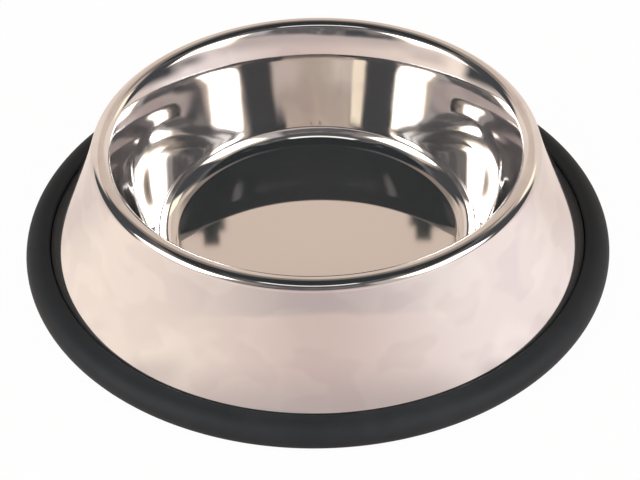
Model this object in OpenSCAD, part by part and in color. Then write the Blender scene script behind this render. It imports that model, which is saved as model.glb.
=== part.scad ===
// Stainless non-tip pet bowl: one drawn steel sheet standing in a rubber foot ring.
// Sizes are in millimetres and angles in degrees. +Z is up, the ring rests on z = 0
// and the round shape's axis is the Z axis.

/* [Overall] */
// Outer diameter of the rubber ring, the widest part of the bowl
base_d = 200; // [194:1:230]
// Height of the rim's crown above the table
bowl_h = 45; // [40:0.1:56]
// Diameter of the circle along the rim's crown
rim_d = 142.1; // [134:0.1:148]
// Height of the cup's floor above the table
floor_z = 3.2; // [1.5:0.1:8]

/* [Steel sheet] */
// Thickness of the steel
sheet = 0.6; // [0.4:0.05:1]
// Outside radius of the rounded rim
rim_r = 3.7; // [2.6:0.1:4.6]
// Lean of the collar from vertical, where it meets the rim
collar_top_a = 30; // [25:0.5:36]
// Lean of the collar from vertical, where it meets the wall
collar_low_a = 15.4; // [13:0.1:18]
// Radius of the flared collar
collar_r = 49; // [30:1:60]
// Radius of the cup wall's slight hollow
wall_r = 360; // [320:5:900]
// Radius of the corner between wall and floor
corner_r = 8.5; // [5:0.1:11]

/* [Skirt and its foot] */
// Radius of the skirt's hollow flare
skirt_r = 140; // [110:5:300]
// Height of the foot flange's underside above the table
flange_z = 3; // [2.4:0.1:3.6]
// Width of the foot flange, measured from the foot of the skirt
flange_w = 2.6; // [2:0.1:3]
// Inside radius of the bend between skirt and flange
bend_r = 1; // [0.6:0.1:1.4]

/* [Rubber ring] */
// Height of the ring
ring_h = 9.7; // [8.6:0.1:11]
// How far the ring stands out beyond the foot of the skirt
ring_reach = 5.5; // [5:0.1:7]
// Radius of the ring's inner shoulder, beside the skirt
shoulder_r = 1; // [0.7:0.1:1.3]
// How far the shoulder's crown lies below the ring's crown
shoulder_drop = 0.5; // [0:0.1:0.7]
// How far the ring's toe reaches in under the skirt from its foot
toe_in = 4; // [2:0.1:5]
// Radius of the toe's inner lower edge
toe_r = 0.8; // [0.4:0.1:1.4]
// Clearance between rubber and steel, except under the flange, which rests on rubber
ring_gap = 0.1; // [0.05:0.05:0.3]

/* [Hidden] */

// Smoothness: facets round the axis, then flats along each arc of the section
turn_fn = 180;
corner_n = 10;
wall_n = 4;
skirt_n = 8;
collar_n = 4;
rim_n = 20;
bend_n = 6;
shoulder_n = 8;
toe_n = 4;
round_n = 26;

// Points are [distance from the axis, height]. Angles run from the outward horizontal.
function dir(a) = [cos(a), sin(a)];
// Points along an arc of radius r about c, from angle a1 to a2, in n flats
function arc(c, r, a1, a2, n) = [for (i = [0:n]) c + r * dir(a1 + (a2 - a1) * i / n)];
function reversed(points) = [for (i = [len(points) - 1:-1:0]) points[i]];

// Where the sheet's polished face leans back by a from vertical, inside the cup,
// it looks inward and up along facing(a).
function facing(a) = dir(180 - a);

// Rim: the crown of its arc is at rim_d and bowl_h.
rim_c = [rim_d / 2, bowl_h - rim_r];

// Skirt: one hollow arc that touches the rim's arc and meets the flange's top at foot_rad.
flange_top = flange_z + sheet;
foot_rad = base_d / 2 - ring_reach;
foot_span = [foot_rad, flange_top] - rim_c;
skirt_span = rim_r + skirt_r;
// The angle at rim_c in the triangle of rim_c, the foot of the skirt and skirt_c
foot_corner = acos((foot_span * foot_span + skirt_span ^ 2 - skirt_r ^ 2)
    / (2 * norm(foot_span) * skirt_span));
skirt_top_a = atan2(foot_span[1], foot_span[0]) + foot_corner;
skirt_c = rim_c + skirt_span * dir(skirt_top_a);
// Lean of the skirt from vertical, and distance from the axis, of a line that runs beside
// its outer face, out by gap, at height z
function skirt_lean(z, gap) = asin((skirt_c[1] - z) / (skirt_r - gap));
function beside_skirt(z, gap) = skirt_c[0] - (skirt_r - gap) * cos(skirt_lean(z, gap));

// Bend at the foot: its centre lies outside the skirt, over the flange.
bend_z = flange_top + bend_r;
bend_c = [beside_skirt(bend_z, bend_r), bend_z];
skirt_low_a = skirt_lean(bend_z, bend_r);
flange_end = foot_rad + flange_w;

// Cup: each arc starts where the one above it ends, in the same direction.
collar_c = rim_c + (rim_r - collar_r) * facing(collar_top_a);
wall_c = collar_c + (collar_r + wall_r) * facing(collar_low_a);
wall_low_a = asin((wall_c[1] - floor_z - corner_r) / (wall_r - corner_r));
corner_c = wall_c + (corner_r - wall_r) * facing(wall_low_a);

// Ring: a round outer side, a smaller round shoulder and a flat underside
round_r = ring_h / 2;
round_c = [base_d / 2 - round_r, round_r];
shoulder_z = ring_h - shoulder_drop - shoulder_r;
shoulder_c = [beside_skirt(shoulder_z, shoulder_r + ring_gap), shoulder_z];
shoulder_a = skirt_lean(shoulder_z, shoulder_r + ring_gap);
// The top runs straight between the two rounds and touches both. Beside a steep skirt,
// the shoulder lies within the outer round, which then ends right over it.
top_span = round_c - shoulder_c;
top_a = atan2(top_span[1], top_span[0]) + acos(max(-1, (shoulder_r - round_r) / norm(top_span)));
// Groove for the foot flange
groove_top = flange_top + ring_gap;
groove_end = flange_end + ring_gap;
nose_r = bend_r - ring_gap;
toe_rad = foot_rad - toe_in;

// One face of the sheet, from the middle of the floor out to the edge of the foot flange:
// floor, corner, wall, collar, rim, skirt, bend and flange. With t = 0 it is the polished
// face, and with t = sheet it is the hidden face, the sheet's thickness behind it.
function face(t) = concat(
    [[0, floor_z - t]],
    arc(corner_c, corner_r + t, 270, 360 - wall_low_a, corner_n),
    arc(wall_c, wall_r + t, 360 - wall_low_a, 360 - collar_low_a, wall_n),
    arc(collar_c, collar_r - t, 180 - collar_low_a, 180 - collar_top_a, collar_n),
    arc(rim_c, rim_r - t, 180 - collar_top_a, skirt_top_a, rim_n),
    arc(skirt_c, skirt_r + t, 180 + skirt_top_a, 180 + skirt_low_a, skirt_n),
    arc(bend_c, bend_r + t, 180 + skirt_low_a, 270, bend_n),
    [[flange_end, flange_top - t]]
);

// One drawn sheet: cup, rim, skirt and foot flange in a single thickness
module steel_bowl() {
    color("silver") rotate_extrude($fn = turn_fn) polygon(concat(face(0), reversed(face(sheet))));
}

// Rubber ring: a round outer side, a shoulder beside the skirt and a nose beside the bend,
// a groove round the flange, and a toe under it
module rubber_ring() {
    color([0.19, 0.2, 0.21]) rotate_extrude($fn = turn_fn) polygon(concat(
        arc(round_c, round_r, -90, top_a, round_n),
        arc(shoulder_c, shoulder_r, top_a, 180 + shoulder_a, shoulder_n),
        arc(bend_c, nose_r, 180 + skirt_low_a, 270, bend_n),
        [[groove_end, groove_top], [groove_end, flange_z], [toe_rad, flange_z]],
        arc([toe_rad + toe_r, toe_r], toe_r, 180, 270, toe_n)
    ));
}

steel_bowl();
rubber_ring();
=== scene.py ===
import bmesh
import bpy
from math import acos, asin, atan2, cos, degrees, pi, radians, sin
from mathutils import Matrix, Vector


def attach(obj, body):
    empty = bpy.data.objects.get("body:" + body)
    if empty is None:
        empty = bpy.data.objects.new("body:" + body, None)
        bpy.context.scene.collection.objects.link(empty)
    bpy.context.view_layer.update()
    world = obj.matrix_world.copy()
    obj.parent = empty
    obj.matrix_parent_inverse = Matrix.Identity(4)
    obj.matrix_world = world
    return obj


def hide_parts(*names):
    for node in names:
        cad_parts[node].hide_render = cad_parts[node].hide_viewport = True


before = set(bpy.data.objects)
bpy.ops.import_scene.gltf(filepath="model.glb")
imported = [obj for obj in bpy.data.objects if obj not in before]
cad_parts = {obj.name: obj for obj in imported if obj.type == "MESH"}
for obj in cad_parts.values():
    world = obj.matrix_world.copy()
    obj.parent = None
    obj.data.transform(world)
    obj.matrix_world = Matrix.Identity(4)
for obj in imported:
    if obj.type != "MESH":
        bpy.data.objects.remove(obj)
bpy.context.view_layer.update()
scene = bpy.context.scene

# Shader maths


class Wire:
    """A node's output, so that shader maths is written as a Python expression"""

    def __init__(self, tree, socket):
        self.tree = tree
        self.socket = socket

    def __add__(self, other):
        return maths("ADD", self, other)

    def __radd__(self, other):
        return maths("ADD", other, self)

    def __sub__(self, other):
        return maths("SUBTRACT", self, other)

    def __rsub__(self, other):
        return maths("SUBTRACT", other, self)

    def __mul__(self, other):
        return maths("MULTIPLY", self, other)

    def __rmul__(self, other):
        return maths("MULTIPLY", other, self)

    def __neg__(self):
        return maths("MULTIPLY", self, -1.0)

    def __abs__(self):
        return maths("ABSOLUTE", self)


def add_node(tree, kind, settings=None, inputs=None, output=0):
    """Adds a node: its settings first, then the values or links of its sockets.
    Gives the output that is asked for, unless the node has none."""
    node = tree.nodes.new(kind)
    for name, value in (settings or {}).items():
        setattr(node, name, value)
    for name, value in (inputs or {}).items():
        if isinstance(value, Wire):
            tree.links.new(value.socket, node.inputs[name])
        else:
            node.inputs[name].default_value = value
    return Wire(tree, node.outputs[output]) if node.outputs else None


def maths(operation, *values):
    """A Math node on values, of which at least one is a Wire"""
    tree = next(value.tree for value in values if isinstance(value, Wire))
    return add_node(tree, "ShaderNodeMath", {"operation": operation}, dict(enumerate(values)))


def mix_colour(mask, first, second):
    """first where mask is 0 and second where it is 1"""
    values = {0: mask, 6: first, 7: second}
    return add_node(mask.tree, "ShaderNodeMix", {"data_type": "RGBA"}, values, output=2)


def mix_shader(mask, first, second):
    return add_node(mask.tree, "ShaderNodeMixShader", None, {0: mask, 1: first, 2: second})


def rise(value, low, high):
    """0 below low, 1 above high and smooth between them"""
    values = {"Value": value, "From Min": low, "From Max": high}
    return add_node(value.tree, "ShaderNodeMapRange", {"interpolation_type": "SMOOTHSTEP"}, values)


def split(vector):
    """The x, y and z of a vector"""
    node = add_node(vector.tree, "ShaderNodeSeparateXYZ", None, {0: vector}).socket.node
    return [Wire(vector.tree, socket) for socket in node.outputs]


def join(x, y, z):
    return add_node(x.tree, "ShaderNodeCombineXYZ", None, {0: x, 1: y, 2: z})


def noise(vector, scale, detail=2.0, roughness=0.5):
    values = {"Vector": vector, "Scale": scale, "Detail": detail, "Roughness": roughness}
    return add_node(vector.tree, "ShaderNodeTexNoise", None, values)


def reach(x, y):
    """Distance from the bowl's axis"""
    return maths("SQRT", x * x + y * y)


def bearing(x, y):
    """Direction round the bowl's axis, in degrees from the camera's side"""
    return maths("ARCTAN2", x, -y) * (180 / pi)


def new_tree(owner):
    owner.use_nodes = True
    owner.node_tree.nodes.clear()
    return owner.node_tree


def new_material(name):
    paint = bpy.data.materials.new(name)
    return paint, new_tree(paint)


def rgba(red, green, blue):
    return (red, green, blue, 1.0)


# Camera, at the photo's viewing angle. The bowl's axis is the world's Z axis.
VIEW_DISTANCE = 0.55
VIEW_ELEVATION = radians(40.32)
VIEW_ROLL = radians(-1.0)
SENSOR_WIDTH, FOCAL_LENGTH = 36.0, 88.79
SHIFT_X, SHIFT_Y = 0.00366, -0.00047
CLIP_START = 0.01


def photo_camera():
    lens = bpy.data.cameras.new("camera")
    lens.sensor_width = SENSOR_WIDTH
    lens.lens = FOCAL_LENGTH
    lens.shift_x = SHIFT_X
    lens.shift_y = SHIFT_Y
    lens.clip_start = CLIP_START
    camera = bpy.data.objects.new("camera", lens)
    back = -VIEW_DISTANCE * cos(VIEW_ELEVATION)
    up = VIEW_DISTANCE * sin(VIEW_ELEVATION)
    camera.matrix_world = (
        Matrix.Translation((0, back, up))
        @ Matrix.Rotation(pi / 2 - VIEW_ELEVATION, 4, "X")
        @ Matrix.Rotation(VIEW_ROLL, 4, "Z")
    )
    scene.collection.objects.link(camera)
    scene.camera = camera
    scene.view_settings.view_transform = "Standard"


# Colours of the studio
WHITE = rgba(1, 1, 1)
LAMP_EDGE = rgba(1, 0.87, 0.68)
CEILING = rgba(0.014, 0.019, 0.022)
ROOM = rgba(0.135, 0.128, 0.132)
ROOM_PATCHES = rgba(0.26, 0.235, 0.23)
ROOM_HIGH = rgba(0.09, 0.088, 0.09)
TABLE_MATT = rgba(0.85, 0.84, 0.83)
TABLE_FRONT = rgba(0.84, 0.67, 0.615)
# Painted shadow: the table's glow to the metal close to the bowl, standing in for the bowl's shadow
TABLE_PAINTED_SHADOW = rgba(0.67, 0.57, 0.55)
TABLE_EDGE = rgba(0.65, 0.545, 0.52)
TABLE_LEFT = rgba(1.19, 1.02, 0.90)
TABLE_RIGHT = rgba(1.18, 1.04, 1.01)
TABLE_BACK = rgba(0.93, 0.79, 0.72)
TABLE_SHADE = rgba(0.86, 0.72, 0.66)
BACKDROP = rgba(0.80, 0.67, 0.56)
BACKDROP_SIDE = rgba(0.98, 0.83, 0.73)
BACKDROP_TOP = rgba(0.79, 0.635, 0.54)
BACKDROP_DIM = rgba(0.31, 0.25, 0.21)
FLAG = rgba(0.055, 0.059, 0.065)
POST = rgba(0.03, 0.035, 0.035)
STAND = rgba(0.30, 0.27, 0.26)
STAND_DIM = rgba(0.16, 0.155, 0.155)
STAND_PALE = rgba(0.62, 0.58, 0.57)
CARD = rgba(1.6, 1.55, 1.5)
CARD_CREAM = rgba(1.65, 1.42, 1.12)

# Bearings and elevations, in degrees, over which one part of the room fades into the next
CEILING_FADE = (60, 70)
HORIZON_FADE = (19.5, 22.5)
HORIZON_STEP, HORIZON_STEP_FADE = 2.5, (-15, 25)
EDGE_FADE, EDGE_SIDE_FADE = (8, 20), (40, 75)
LEFT_FADE, RIGHT_FADE, BACK_FADE = (0, 85), (0, 75), (86, 106)

# Panels round the bowl, each painted over those before it. Bearings and elevations in degrees:
# (first bearing, last bearing, softness, lowest, highest, softness, colour)
PANELS = [
    (-50, 50, 8, 44, 61, 5, ROOM_HIGH),
    (-200, -118, 8, -90, 35, 8, BACKDROP_SIDE),
    (122, 200, 8, -90, 35, 8, BACKDROP_SIDE),
    (-200, -163, 12, -90, 42, 8, BACKDROP),
    (160, 200, 12, -90, 42, 8, BACKDROP),
    (-200, -140, 5, 34, 45, 6, BACKDROP_TOP),
    (138, 200, 5, 34, 45, 6, BACKDROP_TOP),
    (132, 168, 14, 39, 50, 5, BACKDROP),
    (-150, -60, 8, 54, 75, 5, CEILING),
    (60, 150, 8, 54, 75, 5, CEILING),
    (-200, -142, 6, 44, 58, 7, BACKDROP_DIM),
    (146, 200, 6, 44, 57, 7, BACKDROP_DIM),
    (-47, -16, 10, 21.5, 27, 6, FLAG),
    (-47, -30, 6, 24, 50, 6, STAND),
    (-76, -54, 14, 8, 17, 6, TABLE_SHADE),
    (26, 46, 8, 24, 47, 6, STAND_PALE),
    (40, 85, 8, 21, 50, 5, BACKDROP),
    (-94, -46, 8, 21, 46, 5, BACKDROP),
    (64, 80, 14, 11, 18, 8, STAND),
    (-132, -89, 8, 4.5, 20, 7, FLAG),
    (-132, -98, 8, 15, 48, 6, FLAG),
    (-144, -118, 6, 37, 52, 4, FLAG),
    (80, 122, 14, 8, 20, 8, FLAG),
    (86, 122, 6, 10, 50, 10, FLAG),
    (124, 137, 4, 22, 38, 3, CARD_CREAM),
    (-42, 28, 4, 60.5, 66.5, 4, CARD),
    (76, 86, 6, 63.5, 65.3, 1.6, STAND_DIM),
    (-80, -72, 6, 64, 66.5, 2, STAND_DIM),
    (-175.65, -173.9, 0.4, 39.1, 39.85, 0.2, POST),
    (-175.35, -174.6, 0.2, 39.1, 40.35, 0.2, POST),
    (173.9, 175.65, 0.4, 39.1, 39.8, 0.2, POST),
    (174.6, 175.35, 0.2, 39.1, 40.3, 0.2, POST),
]

# Table: metres
TABLE_RADIUS, TABLE_SEGMENTS = 4.0, 96
TABLE_TOP_Z = -0.0003
# Metres from the axis over which the painted shadow near the bowl fades into the front colour
PAINTED_SHADOW_FADE = (0.7, 3.5)
# How much of what the camera sees of the table is plain white. The rest shows the shadow.
WHITE_SHARE = 0.97

# Lamps: metres, watts and degrees. Each is a leaning square that glows between two heights.
LAMP_SIDE, LAMP_DISTANCE, LAMP_POWER = 1.3, 1.5, 72
LAMP_ELEVATION = radians(34)
GLOW_LOW, GLOW_HIGH, GLOW_END, GLOW_SIDE = 25, 41, 10, 16
GLOW_WHITE_AT = 0.3


def field(azimuth, elevation, first, last, side, low, high, end):
    """1 between two bearings and two elevations, with edges side and end degrees wide"""
    return (
        rise(azimuth, first - side / 2, first + side / 2)
        * (1 - rise(azimuth, last - side / 2, last + side / 2))
        * rise(elevation, low - end / 2, low + end / 2)
        * (1 - rise(elevation, high - end / 2, high + end / 2))
    )


def table_colour(azimuth, front):
    """The pale table all round: dimmest in front, brightest at the sides"""
    left = mix_colour(rise(-azimuth, *LEFT_FADE), front, TABLE_LEFT)
    sides = mix_colour(rise(azimuth, *RIGHT_FADE), left, TABLE_RIGHT)
    return mix_colour(rise(abs(azimuth), *BACK_FADE), sides, TABLE_BACK)


def studio_world():
    """White to the camera. To the bowl, a room of pale and dark panels."""
    world = bpy.data.worlds.new("studio_room")
    scene.world = world
    tree = new_tree(world)
    toward = add_node(tree, "ShaderNodeTexCoord", output="Generated")
    x, y, z = split(toward)
    azimuth = bearing(x, y)
    elevation = maths("ARCSINE", z) * (180 / pi)
    patches = rise(noise(toward, 5.0, 3.0, 0.6), 0.5, 0.6)
    walls = mix_colour(patches, ROOM, ROOM_PATCHES)
    room = mix_colour(rise(elevation, *CEILING_FADE), walls, CEILING)

    edge = rise(elevation, *EDGE_FADE) * (1 - rise(abs(azimuth), *EDGE_SIDE_FADE))
    table = mix_colour(edge, table_colour(azimuth, TABLE_FRONT), TABLE_EDGE)
    horizon = rise(elevation - rise(azimuth, *HORIZON_STEP_FADE) * HORIZON_STEP, *HORIZON_FADE)
    colour = mix_colour(horizon, table, room)
    for *shape, paint in PANELS:
        colour = mix_colour(field(azimuth, elevation, *shape), colour, paint)

    to_camera = add_node(tree, "ShaderNodeLightPath", output="Is Camera Ray")
    seen_in_bowl = add_node(tree, "ShaderNodeBackground", None, {"Color": colour, "Strength": 1.0})
    white = add_node(tree, "ShaderNodeBackground", None, {"Color": WHITE, "Strength": 1.0})
    surface = mix_shader(to_camera, seen_in_bowl, white)
    add_node(tree, "ShaderNodeOutputWorld", None, {"Surface": surface})


def studio_table():
    """A wide pale table. The camera sees it white, with the bowl's shadow left in."""
    mesh = bpy.data.meshes.new("table_top")
    shape = bmesh.new()
    bmesh.ops.create_circle(shape, cap_ends=True, radius=TABLE_RADIUS, segments=TABLE_SEGMENTS)
    shape.to_mesh(mesh)
    shape.free()
    table = bpy.data.objects.new("table_top", mesh)
    table.location.z = TABLE_TOP_Z
    scene.collection.objects.link(table)

    paint, tree = new_material("pale_table")
    mesh.materials.append(paint)
    x, y, z = split(add_node(tree, "ShaderNodeTexCoord", output="Object"))
    # Painted shadow: what the metal sees of the table is darker close to the bowl, standing in for the
    # bowl's shadow
    front_with_painted_shadow = mix_colour(rise(reach(x, y), *PAINTED_SHADOW_FADE), TABLE_PAINTED_SHADOW, TABLE_FRONT)
    matt = add_node(tree, "ShaderNodeBsdfDiffuse", None, {"Color": TABLE_MATT})
    # Painted light: to the metal the table glows, brighter at the sides and dimmer in front, with the
    # painted shadow near the bowl
    pale = add_node(tree, "ShaderNodeEmission", None, {"Color": table_colour(bearing(x, y), front_with_painted_shadow)})
    white = add_node(tree, "ShaderNodeEmission", None, {"Color": WHITE})
    to_camera = add_node(tree, "ShaderNodeLightPath", output="Is Camera Ray")
    to_metal = add_node(tree, "ShaderNodeLightPath", output="Is Glossy Ray")
    surface = mix_shader(to_camera * WHITE_SHARE, mix_shader(to_metal, matt, pale), white)
    add_node(tree, "ShaderNodeOutputMaterial", None, {"Surface": surface})


def soft_box(name, azimuth, first, last, lean):
    """A studio lamp on one bearing, which the camera itself doesn't see. It glows between the
    bearings first and last, and these lean by lean degrees for each degree of elevation."""
    lamp = bpy.data.lights.new(name, "AREA")
    lamp.shape = "RECTANGLE"
    lamp.size = LAMP_SIDE
    lamp.size_y = LAMP_SIDE
    lamp.energy = LAMP_POWER
    tree = new_tree(lamp)
    x, y, z = split(add_node(tree, "ShaderNodeNewGeometry", output="Position"))
    elevation = maths("ARCTAN2", z, reach(x, y)) * (180 / pi)
    leaning = bearing(x, y) + elevation * lean
    glow = field(leaning, elevation, first, last, GLOW_SIDE, GLOW_LOW, GLOW_HIGH, GLOW_END)
    colour = mix_colour(rise(glow, 0, GLOW_WHITE_AT), LAMP_EDGE, WHITE)
    light = add_node(tree, "ShaderNodeEmission", None, {"Color": colour, "Strength": glow})
    add_node(tree, "ShaderNodeOutputLight", None, {"Surface": light})
    holder = bpy.data.objects.new(name, lamp)
    turn = radians(azimuth)
    level = cos(LAMP_ELEVATION)
    place = LAMP_DISTANCE * Vector((sin(turn) * level, -cos(turn) * level, sin(LAMP_ELEVATION)))
    holder.matrix_world = Matrix.Translation(place) @ place.to_track_quat("Z", "Y").to_matrix().to_4x4()
    holder.visible_camera = False
    scene.collection.objects.link(holder)


# Materials of the bowl. Heights in metres.
WAVE_HEIGHT, DENT_HEIGHT, MARK_HEIGHT = 0.00005, 0.000015, 0.0000003
FLOOR_FADE = (0.0035, 0.008)
# STEEL_PAINTED_DIM is painted shade: the darker steel colour of the cloudy patches, standing in for
# uneven reflections
STEEL, STEEL_PAINTED_DIM = rgba(0.765, 0.755, 0.74), rgba(0.70, 0.675, 0.675)
GRAIN_HEIGHT = 0.00006
RUBBER, RUBBER_BLOOM = rgba(0.018, 0.021, 0.024), rgba(0.025, 0.028, 0.031)


def polished_steel():
    """Mirror-polished stainless steel: the drawn sheet's slight waves and dents, buffing marks
    round the axis, and painted shade: cloudy patches where the steel's colour is darker, which stand
    in for uneven reflections, and which are a little rougher. The flat floor has the buffing marks
    alone."""
    paint, tree = new_material("polished_steel")
    place = add_node(tree, "ShaderNodeTexCoord", output="Object")
    x, y, z = split(place)
    radius = reach(x, y)
    angle = maths("ARCTAN2", y, x)
    above_floor = rise(z, *FLOOR_FADE)
    wide = rise(noise(place, 30.0, 1.0, 0.4), 0.46, 0.54)
    narrow = rise(noise(join(x, y, z * 1.6), 55.0, 1.5, 0.5), 0.47, 0.56)
    # Painted shade: these patches darken the steel's colour to stand in for uneven reflections, and they
    # also raise its roughness
    patches = (wide * 0.5 + narrow * 0.5) * above_floor
    marks = noise(join(radius, angle * 0.004, z), 1400.0, 3.0, 0.6)
    waves = noise(join(radius * 0.5, angle * 0.03, z * 0.5), 70.0)
    dents = noise(place, 85.0)
    height = (waves * WAVE_HEIGHT + dents * DENT_HEIGHT) * above_floor + marks * MARK_HEIGHT
    normal = add_node(
        tree, "ShaderNodeBump", None, {"Strength": 1.0, "Distance": 1.0, "Height": height})
    shader = add_node(tree, "ShaderNodeBsdfPrincipled", None, {
        # painted shade: the patches' darker colour stands in for uneven reflections
        "Base Color": mix_colour(patches, STEEL, STEEL_PAINTED_DIM),
        "Metallic": 0.975,
        "Roughness": 0.025 + 0.03 * patches + 0.01 * marks,
        "Normal": normal,
    })
    add_node(tree, "ShaderNodeOutputMaterial", None, {"Surface": shader})
    return paint


def black_rubber():
    """Smooth moulded rubber, satin, a little dusty where hands and floors have rubbed it"""
    paint, tree = new_material("black_rubber")
    place = add_node(tree, "ShaderNodeTexCoord", output="Object")
    bloom = noise(place, 60.0, 4.0, 0.6)
    grain = noise(place, 3200.0)
    normal = add_node(
        tree, "ShaderNodeBump", None, {"Strength": 0.25, "Distance": GRAIN_HEIGHT, "Height": grain})
    shader = add_node(tree, "ShaderNodeBsdfPrincipled", None, {
        "Base Color": mix_colour(rise(bloom, 0.35, 0.75), RUBBER, RUBBER_BLOOM),
        "Specular IOR Level": 0.2,
        "Roughness": 0.56 + 0.14 * bloom,
        "Normal": normal,
    })
    add_node(tree, "ShaderNodeOutputMaterial", None, {"Surface": shader})
    return paint


# The bowl's section: sizes in millimetres and angles in degrees, as in the part's source
METRE = 1000
BASE_D, BOWL_H, RIM_D, FLOOR_Z = 200.0, 45.0, 142.1, 3.2
SHEET, RIM_R, COLLAR_TOP_A, COLLAR_LOW_A = 0.6, 3.7, 30.0, 15.4
COLLAR_R, WALL_R, CORNER_R = 49.0, 360.0, 8.5
SKIRT_R, FLANGE_Z, FLANGE_W, BEND_R = 140.0, 3.0, 2.6, 1.0
RING_H, RING_REACH, SHOULDER_R, SHOULDER_DROP = 9.7, 5.5, 1.0, 0.5
TOE_IN, TOE_R, RING_GAP = 4.0, 0.8, 0.1

# Smoothness: steps along each stretch of the sheet, then of the ring, and round the axis
FLOOR_N, CORNER_N, WALL_N, COLLAR_N, RIM_N, SKIRT_N, BEND_N = 12, 24, 14, 12, 48, 24, 10
ROUND_N, SHOULDER_N, NOSE_N, TOE_N = 40, 20, 8, 6
TURN_N = 288
SHARP_EDGE = radians(40)


def direction(angle):
    return Vector((cos(radians(angle)), sin(radians(angle))))


def facing(lean):
    """Where the polished face leans back by lean from vertical, it looks along this"""
    return direction(180 - lean)


def arc(centre, radius, start, end, steps):
    return [centre + radius * direction(start + (end - start) * i / steps) for i in range(steps + 1)]


rim_c = Vector((RIM_D / 2, BOWL_H - RIM_R))
flange_top = FLANGE_Z + SHEET
foot_rad = BASE_D / 2 - RING_REACH
foot_span = Vector((foot_rad, flange_top)) - rim_c
skirt_span = RIM_R + SKIRT_R
foot_corner = acos(
    (foot_span.length_squared + skirt_span ** 2 - SKIRT_R ** 2) / (2 * foot_span.length * skirt_span))
skirt_top_a = degrees(atan2(foot_span.y, foot_span.x) + foot_corner)
skirt_c = rim_c + skirt_span * direction(skirt_top_a)


def skirt_lean(z, gap):
    """Lean from vertical, at height z, of a line that runs beside the skirt, out by gap"""
    return degrees(asin((skirt_c.y - z) / (SKIRT_R - gap)))


def beside_skirt(z, gap):
    """The distance of that line from the axis"""
    return skirt_c.x - (SKIRT_R - gap) * cos(radians(skirt_lean(z, gap)))


bend_z = flange_top + BEND_R
bend_c = Vector((beside_skirt(bend_z, BEND_R), bend_z))
skirt_low_a = skirt_lean(bend_z, BEND_R)
flange_end = foot_rad + FLANGE_W
collar_c = rim_c + (RIM_R - COLLAR_R) * facing(COLLAR_TOP_A)
wall_c = collar_c + (COLLAR_R + WALL_R) * facing(COLLAR_LOW_A)
wall_low_a = degrees(asin((wall_c.y - FLOOR_Z - CORNER_R) / (WALL_R - CORNER_R)))
corner_c = wall_c + (CORNER_R - WALL_R) * facing(wall_low_a)


def sheet_face(depth):
    """The sheet's polished face (depth 0) or hidden face (depth SHEET), centre to flange"""
    floor = [Vector((corner_c.x * i / FLOOR_N, FLOOR_Z - depth)) for i in range(FLOOR_N)]
    return (
        floor
        + arc(corner_c, CORNER_R + depth, 270, 360 - wall_low_a, CORNER_N)
        + arc(wall_c, WALL_R + depth, 360 - wall_low_a, 360 - COLLAR_LOW_A, WALL_N)[1:]
        + arc(collar_c, COLLAR_R - depth, 180 - COLLAR_LOW_A, 180 - COLLAR_TOP_A, COLLAR_N)[1:]
        + arc(rim_c, RIM_R - depth, 180 - COLLAR_TOP_A, skirt_top_a, RIM_N)[1:]
        + arc(skirt_c, SKIRT_R + depth, 180 + skirt_top_a, 180 + skirt_low_a, SKIRT_N)[1:]
        + arc(bend_c, BEND_R + depth, 180 + skirt_low_a, 270, BEND_N)[1:]
        + [Vector((flange_end, flange_top - depth))]
    )


def ring_face():
    """The ring's round outer side, shoulder, nose beside the bend, groove and toe"""
    round_r = RING_H / 2
    round_c = Vector((BASE_D / 2 - round_r, round_r))
    shoulder_z = RING_H - SHOULDER_DROP - SHOULDER_R
    shoulder_c = Vector((beside_skirt(shoulder_z, SHOULDER_R + RING_GAP), shoulder_z))
    shoulder_a = skirt_lean(shoulder_z, SHOULDER_R + RING_GAP)
    top_span = round_c - shoulder_c
    top_a = degrees(atan2(top_span.y, top_span.x) + acos((SHOULDER_R - round_r) / top_span.length))
    groove_end = flange_end + RING_GAP
    groove_top = flange_top + RING_GAP
    toe_rad = foot_rad - TOE_IN
    return (
        arc(round_c, round_r, -90, top_a, ROUND_N)
        + arc(shoulder_c, SHOULDER_R, top_a, 180 + shoulder_a, SHOULDER_N)
        + arc(bend_c, BEND_R - RING_GAP, 180 + skirt_low_a, 270, NOSE_N)
        + [Vector((groove_end, groove_top)), Vector((groove_end, FLANGE_Z)), Vector((toe_rad, FLANGE_Z))]
        + arc(Vector((toe_rad + TOE_R, TOE_R)), TOE_R, 180, 270, TOE_N)
    )


def hoop(shape, point):
    """The vertices of one point of a section, turned about the axis"""
    if point.x == 0:
        return [shape.verts.new((0, 0, point.y / METRE))] * TURN_N
    turns = [2 * pi * i / TURN_N for i in range(TURN_N)]
    return [
        shape.verts.new((point.x * cos(t) / METRE, point.x * sin(t) / METRE, point.y / METRE))
        for t in turns]


def turned_piece(name, section, node, paint):
    """A closed solid of revolution about Z, from a closed section in millimetres"""
    shape = bmesh.new()
    hoops = [hoop(shape, point) for point in section]
    for here, there in zip(hoops, hoops[1:] + hoops[:1]):
        for i in range(TURN_N):
            j = (i + 1) % TURN_N
            corners = list(dict.fromkeys((here[i], here[j], there[j], there[i])))
            if len(corners) > 2:
                shape.faces.new(corners)
    bmesh.ops.recalc_face_normals(shape, faces=shape.faces)
    mesh = bpy.data.meshes.new(name)
    shape.to_mesh(mesh)
    shape.free()
    mesh.shade_smooth()
    mesh.set_sharp_from_angle(angle=SHARP_EDGE)
    mesh.materials.append(paint)
    piece = bpy.data.objects.new(name, mesh)
    scene.collection.objects.link(piece)
    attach(piece, "root")
    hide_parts(node)


photo_camera()
studio_world()
studio_table()
soft_box("soft_box_left", -68, -111, -77, -0.8)
soft_box("soft_box_right", 65, 62, 94, 0.45)
sheet_section = sheet_face(0) + sheet_face(SHEET)[::-1]
turned_piece("drawn_steel_sheet", sheet_section, "steel_bowl", polished_steel())
turned_piece("moulded_rubber_ring", ring_face(), "rubber_ring", black_rubber())
